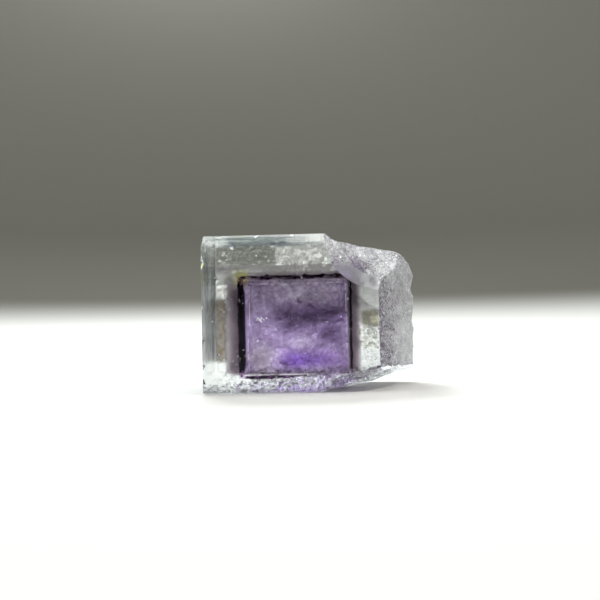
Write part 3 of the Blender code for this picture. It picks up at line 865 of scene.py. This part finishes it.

# Pale specks in the crystal; they glow a little, as painted light. A chosen one is (across, behind, up, half
# size), in mm;
# the chosen ones stand where bright flecks and glints show, so they are partly painted highlights. The
# scattered ones lie in a room, fewer of them before the violet cube and none behind the shell-shaped break.
specks = {
    "chosen": (
        (4.42, 2.0, 5.95, 0.10), (4.58, 2.0, 5.8, 0.13), (4.7, 2.0, 5.98, 0.08), (4.88, 2.0, 5.84, 0.11),
        (5.1, 2.0, 5.95, 0.07), (4.3, 2.0, 5.82, 0.05), (4.66, 2.0, 5.66, 0.07), (4.36, 2.0, 4.12, 0.08),
        (5.56, 12.2, 11.3, 0.09), (5.6, 12.2, 11.65, 0.12), (5.55, 12.2, 12.0, 0.08),
        (5.83, 2.1, 5.0, 0.05), (11.2, 2.1, 5.96, 0.07), (10.4, 1.0, 10.46, 0.09), (8.96, 1.0, 11.3, 0.14),
        (8.7, 0.6, 1.1, 0.10), (10.55, 0.6, 1.15, 0.09), (8.4, 0.6, 1.35, 0.07),
    ),
    "chosenFlat": 0.35, "scattered": 90, "seed": 8, "size": (0.02, 0.055), "flat": (0.15, 0.4),
    "narrow": (0.5, 1), "tilt": 0.6, "room": ((0.5, 12.8), (0.6, 2.2), (1.6, 11.8)),
    "beforeCube": ((3.4, 11.5), (2.2, 9.2)), "fewer": 0.6, "breakFrom": (9.5, 8.5),
    "colour": (0.95, 0.96, 0.97, 1), "roughness": 0.4, "paintedGlow": 0.3,
}
# broken pale lines of flat splinters, along three edges of the violet cube
splinters = {
    "lines": (((3.62, 1.7), (3.55, 3.9), (3.7, 6.0), (3.72, 8.6)), ((3.75, 8.78), (7.2, 8.7), (11.5, 8.76)),
              ((11.6, 8.6), (11.62, 2.5))),
    "behind": 2.2, "step": 0.22, "missing": 0.25, "length": (0.4, 0.62), "width": 0.022, "narrow": (0.4, 1),
    "shift": 0.01,
}


def speck(bm, place, turn, shape):
    # one squashed ball
    verts = bmesh.ops.create_icosphere(bm, subdivisions=2, radius=1.0)["verts"]
    matrix = Matrix.Translation(place) @ turn @ Matrix.Diagonal((*shape, 1))
    bmesh.ops.transform(bm, matrix=matrix, verts=verts)


def splinterLine(bm, rng, start, end):
    run = end - start
    count = max(1, round(run.length / splinters["step"]))
    turn = Matrix.Rotation(-math.atan2(run.y, run.x), 4, "Y")
    for step in range(count):
        if rng.random() < splinters["missing"]:
            continue
        middle = start + run * (step + 0.5) / count
        length = run.length / count * rng.uniform(*splinters["length"])
        width = splinters["width"] * rng.uniform(*splinters["narrow"])
        up = middle.y + rng.uniform(-splinters["shift"], splinters["shift"])
        speck(bm, (middle.x, splinters["behind"], up), turn, (length, width, width))


def speckPlaces(rng):
    places = list(specks["chosen"])
    (left, right), (foot, top) = specks["beforeCube"]
    breakLeft, breakFoot = specks["breakFrom"]
    while len(places) < len(specks["chosen"]) + specks["scattered"]:
        across, behind, up = [rng.uniform(*span) for span in specks["room"]]
        if left < across < right and foot < up < top and rng.random() < specks["fewer"]:
            continue
        if across > breakLeft and up > breakFoot:
            continue
        places.append((across, behind, up, rng.uniform(*specks["size"])))
    return places


def paleSpecks():
    bm = bmesh.new()
    rng = random.Random(specks["seed"])
    for count, (*place, size) in enumerate(speckPlaces(rng)):
        tilts = [rng.uniform(-specks["tilt"], specks["tilt"]) for _ in range(3)]
        isChosen = count < len(specks["chosen"])
        flat = specks["chosenFlat"] if isChosen else rng.uniform(*specks["flat"])
        shape = (size, size * flat, size * rng.uniform(*specks["narrow"]))
        speck(bm, place, Euler(tilts).to_matrix().to_4x4(), shape)
    for points in splinters["lines"]:
        for start, end in zip(points, points[1:]):
            splinterLine(bm, rng, Vector(start), Vector(end))
    for v in bm.verts:
        v.co = spot(*v.co)
    material, tree, surface = newMaterial("paleSpeck")
    surface.inputs["Base Color"].default_value = specks["colour"]
    surface.inputs["Roughness"].default_value = specks["roughness"]
    # painted light: the specks glow a little in their own colour
    surface.inputs["Emission Color"].default_value = specks["colour"]
    surface.inputs["Emission Strength"].default_value = specks["paintedGlow"]
    return addPiece("pale_specks", bm, [material])


paleSpecks()
print("colour zones ready")

stage = {
    "radius": 150, "fillet": 30, "height": 170, "drop": 0.02, "turns": 96, "bends": 12,
    "matt": 0.9, "shine": 0.1,
    "floor": (0.80, 0.78, 0.74, 1), "wall": (0.116, 0.110, 0.094, 1), "paleTo": 4.0, "darkFrom": 14.0,
}


def backdrop():
    # a pale floor that runs up into a dark wall all round
    bm = bmesh.new()
    radius, fillet, height = stage["radius"] * mm, stage["fillet"] * mm, stage["height"] * mm
    points = [Vector((0, 0, 0)), Vector((radius - fillet, 0, 0))]
    for step in range(1, stage["bends"] + 1):
        angle = math.radians(90 * step / stage["bends"])
        outwards = radius - fillet + fillet * math.sin(angle)
        points.append(Vector((outwards, 0, fillet - fillet * math.cos(angle))))
    points.append(Vector((radius, 0, height)))
    verts = [bm.verts.new(p - Vector((0, 0, stage["drop"] * mm))) for p in points]
    edges = [bm.edges.new(pair) for pair in zip(verts, verts[1:])]
    bmesh.ops.spin(bm, geom=verts + edges, axis=(0, 0, 1), angle=math.tau,
                   steps=stage["turns"], use_merge=True)
    bmesh.ops.remove_doubles(bm, verts=bm.verts, dist=tiny)
    bmesh.ops.recalc_face_normals(bm, faces=bm.faces)
    for f in bm.faces:
        f.smooth = True
    material, tree, surface = newMaterial("backdropPaper")
    up = separate(tree, tree.nodes.new("ShaderNodeTexCoord").outputs["Object"])[2]
    dark = rise(tree, up, stage["paleTo"] * mm, stage["darkFrom"] * mm)
    tree.links.new(blend(tree, dark, stage["floor"], stage["wall"]), surface.inputs["Base Color"])
    surface.inputs["Roughness"].default_value = stage["matt"]
    surface.inputs["Specular IOR Level"].default_value = stage["shine"]
    return addPiece("backdrop", bm, [material], None)


backdrop()

# places and sizes in mm, power in watts; all the lights aim at the middle of the crystal
aimHeight = 6
lights = {
    "overhead": {"place": (0, 20, 230), "size": 170, "power": 0.26, "colour": (0.96, 0.99, 1.0)},
    "back": {"place": (-30, 122, 142), "size": 80, "power": 0.36, "colour": (0.90, 0.97, 1.0)},
    "key": {"place": (110, -60, 130), "size": 30, "power": 0.12, "colour": (1.0, 0.98, 0.95)},
    "fill": {"place": (-120, -60, 90), "size": 70, "power": 0.05, "colour": (0.90, 0.95, 1.0)},
}


def addLight(name, values):
    lamp = bpy.data.lights.new(name, "AREA")
    lamp.shape = "DISK"
    lamp.size = values["size"] * mm
    lamp.energy = values["power"]
    lamp.color = values["colour"]
    obj = bpy.data.objects.new(name, lamp)
    obj.location = Vector(values["place"]) * mm
    aim = Vector((0, 0, aimHeight * mm))
    obj.rotation_euler = (aim - obj.location).to_track_quat("-Z", "Y").to_euler()
    obj.visible_camera = False
    bpy.context.scene.collection.objects.link(obj)


for name, values in lights.items():
    addLight(name, values)

room = {"colour": (0.82, 0.88, 1.0, 1), "strength": 0.2}
world = bpy.data.worlds.new("softRoom")
world.use_nodes = True
background = world.node_tree.nodes["Background"].inputs
background["Color"].default_value = room["colour"]
background["Strength"].default_value = room["strength"]
bpy.context.scene.world = world

# lengths in mm and angles in degrees; scale is mm to a pixel at the front face
view = {
    "pixels": 600, "scale": 0.08, "distance": 70, "centre": (7.92, 7.32),
    "turn": 2.0, "lift": -2.0, "roll": -1.2, "sensor": 36, "nearest": 1, "farthest": 2000,
}


def addCamera():
    data = bpy.data.cameras.new("camera")
    data.sensor_width = view["sensor"]
    data.lens = view["sensor"] * view["distance"] / (view["pixels"] * view["scale"])
    data.clip_start = view["nearest"] * mm
    data.clip_end = view["farthest"] * mm
    obj = bpy.data.objects.new("camera", data)
    across, up = view["centre"]
    aim = spot(across, 0, up)
    turn, lift = math.radians(view["turn"]), math.radians(view["lift"])
    back = Vector((math.sin(turn) * math.cos(lift), -math.cos(turn) * math.cos(lift), math.sin(lift)))
    obj.location = aim + back * view["distance"] * mm
    look = (-back).to_track_quat("-Z", "Y").to_matrix().to_4x4()
    roll = Matrix.Rotation(math.radians(view["roll"]), 4, "Z")
    obj.matrix_world = Matrix.Translation(obj.location) @ look @ roll
    bpy.context.scene.collection.objects.link(obj)
    bpy.context.scene.camera = obj


addCamera()

bounces = {"through": 40, "mirrored": 12}
scene = bpy.context.scene
scene.view_settings.view_transform = "Standard"
scene.cycles.max_bounces = bounces["through"]
scene.cycles.transmission_bounces = bounces["through"]
scene.cycles.transparent_max_bounces = bounces["through"]
scene.cycles.glossy_bounces = bounces["mirrored"]
print("stage ready")
